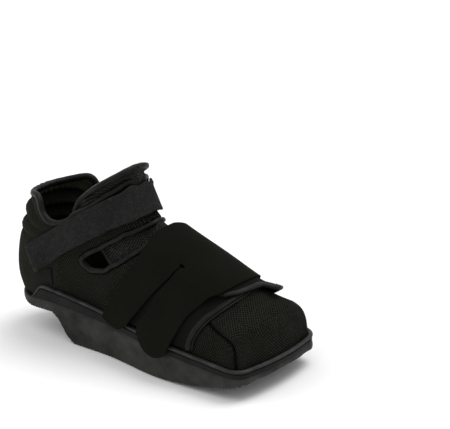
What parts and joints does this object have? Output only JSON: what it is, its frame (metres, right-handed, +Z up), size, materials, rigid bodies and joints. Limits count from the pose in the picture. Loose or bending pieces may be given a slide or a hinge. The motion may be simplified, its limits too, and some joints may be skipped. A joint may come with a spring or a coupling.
{
  "type": "post operative shoe",
  "caption": "Open-collar post operative shoe with a heel relief wedge sole, padded mesh upper, wrap closure with tabs and an ankle strap.",
  "frame": {"origin": "middle of the box of the shoe, on the floor under the wedge", "axes": "+X from the heel to the toe, +Y to the medial side, +Z up"},
  "size_m": [0.293, 0.114, 0.1667],
  "materials": {
    "sole": "moulded, dull, faintly marbled",
    "insole": "soft cloth",
    "upper": "padded mesh cloth",
    "tongue": "padded spacer mesh",
    "heel_tape": "woven tape",
    "collar_binding": "soft stretch tape",
    "slit_binding": "soft stretch tape",
    "lateral_flap": "padded cloth with a bound edge",
    "medial_flap": "padded cloth with a bound edge",
    "closure": "smooth brushed cloth",
    "ankle_strap": "hook and loop webbing"
  },
  "bodies": {
    "root": {"sole": "sole", "insole": "insole", "upper": "upper", "tongue": "tongue", "heel_tape": "heel_tape", "collar_binding": "collar_binding", "slit_binding": "slit_binding", "lateral_flap": "lateral_flap", "medial_flap": "medial_flap", "closure": "closure", "ankle_strap": "ankle_strap"}
  },
  "joints": []
}
